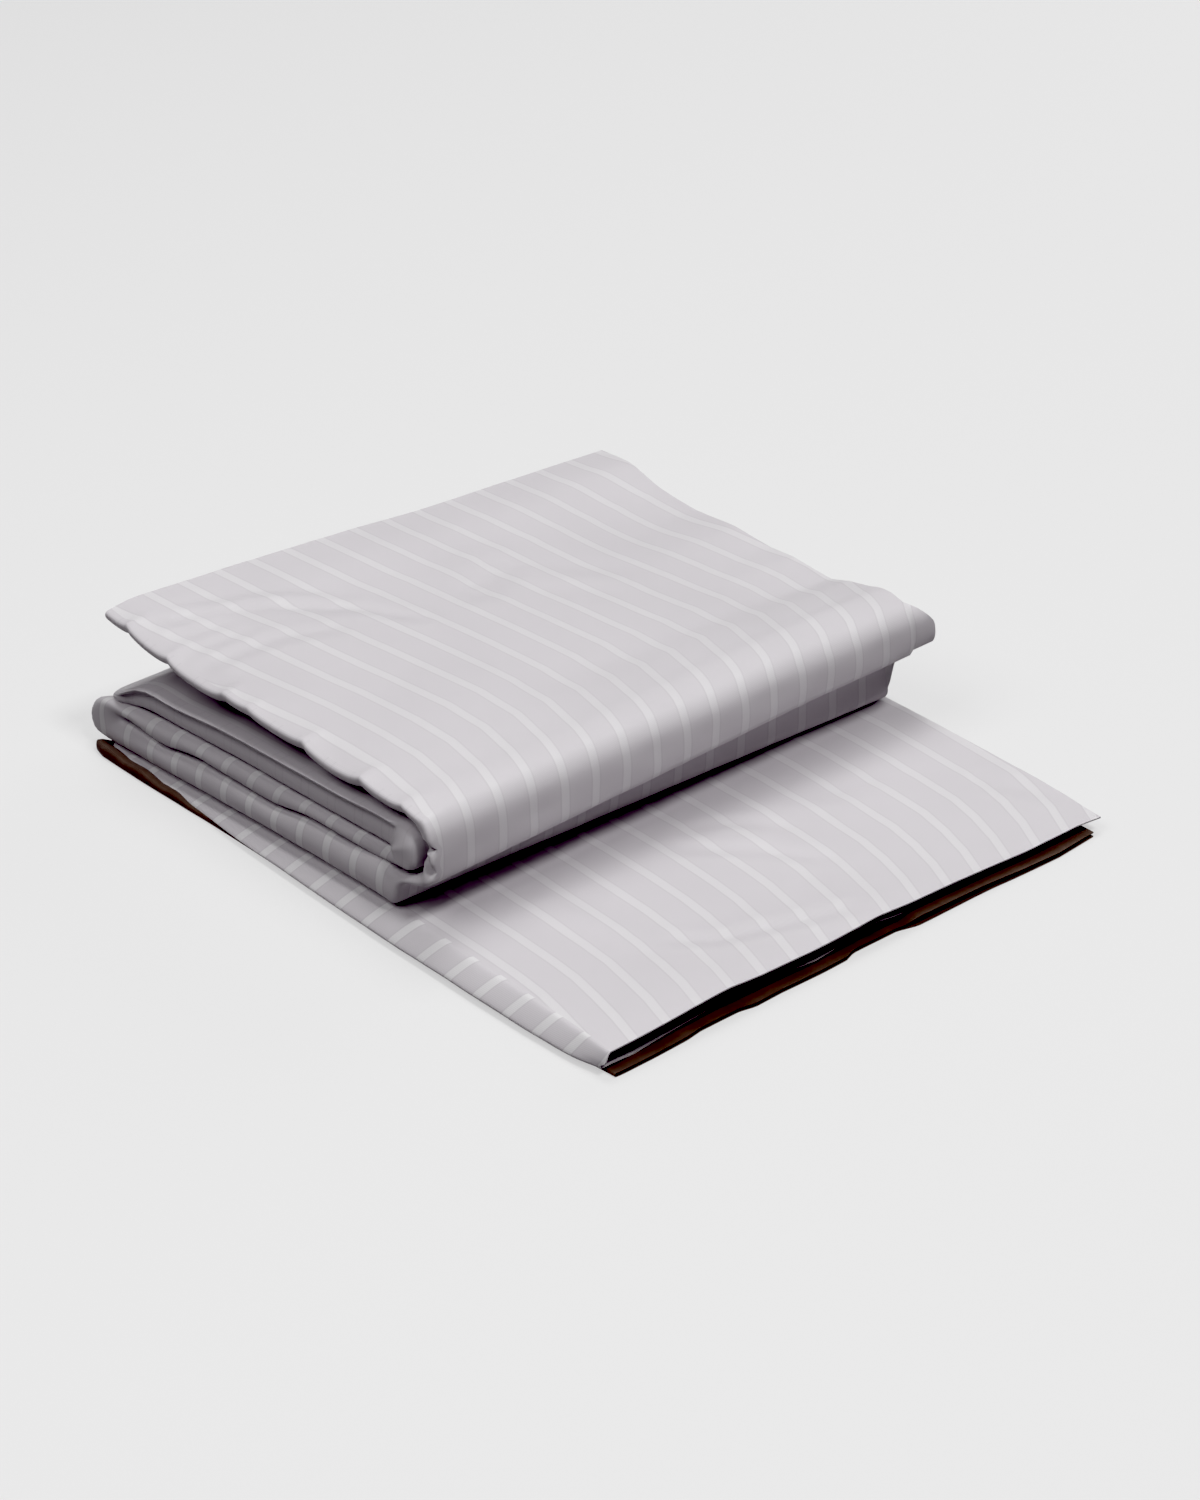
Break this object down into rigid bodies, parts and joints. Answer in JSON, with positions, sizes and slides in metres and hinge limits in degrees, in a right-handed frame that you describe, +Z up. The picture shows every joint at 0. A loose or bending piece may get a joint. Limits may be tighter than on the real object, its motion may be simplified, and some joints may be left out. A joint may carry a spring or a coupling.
{
  "type": "folded duvet cover",
  "caption": "Striped cotton duvet cover, folded lengthwise and then back and forth into a flat pack with a projecting base run.",
  "frame": {"origin": "on the surface that the pack lies on, at the middle of its outline", "axes": "+X across the pack, from the closed side fold to the open side; +Y along the pack, from the open front edge of the base run to the back; +Z up"},
  "size_m": [0.3516, 0.4316, 0.0885],
  "materials": {
    "face_cloth": "soft satin sheen, woven stripe",
    "inner_cloth": "soft satin sheen, woven stripe",
    "under_cloth": "plain matt cotton"
  },
  "bodies": {
    "root": {"face_panel": "face_cloth", "inner_panel": "inner_cloth", "under_panel": "under_cloth"}
  },
  "joints": []
}
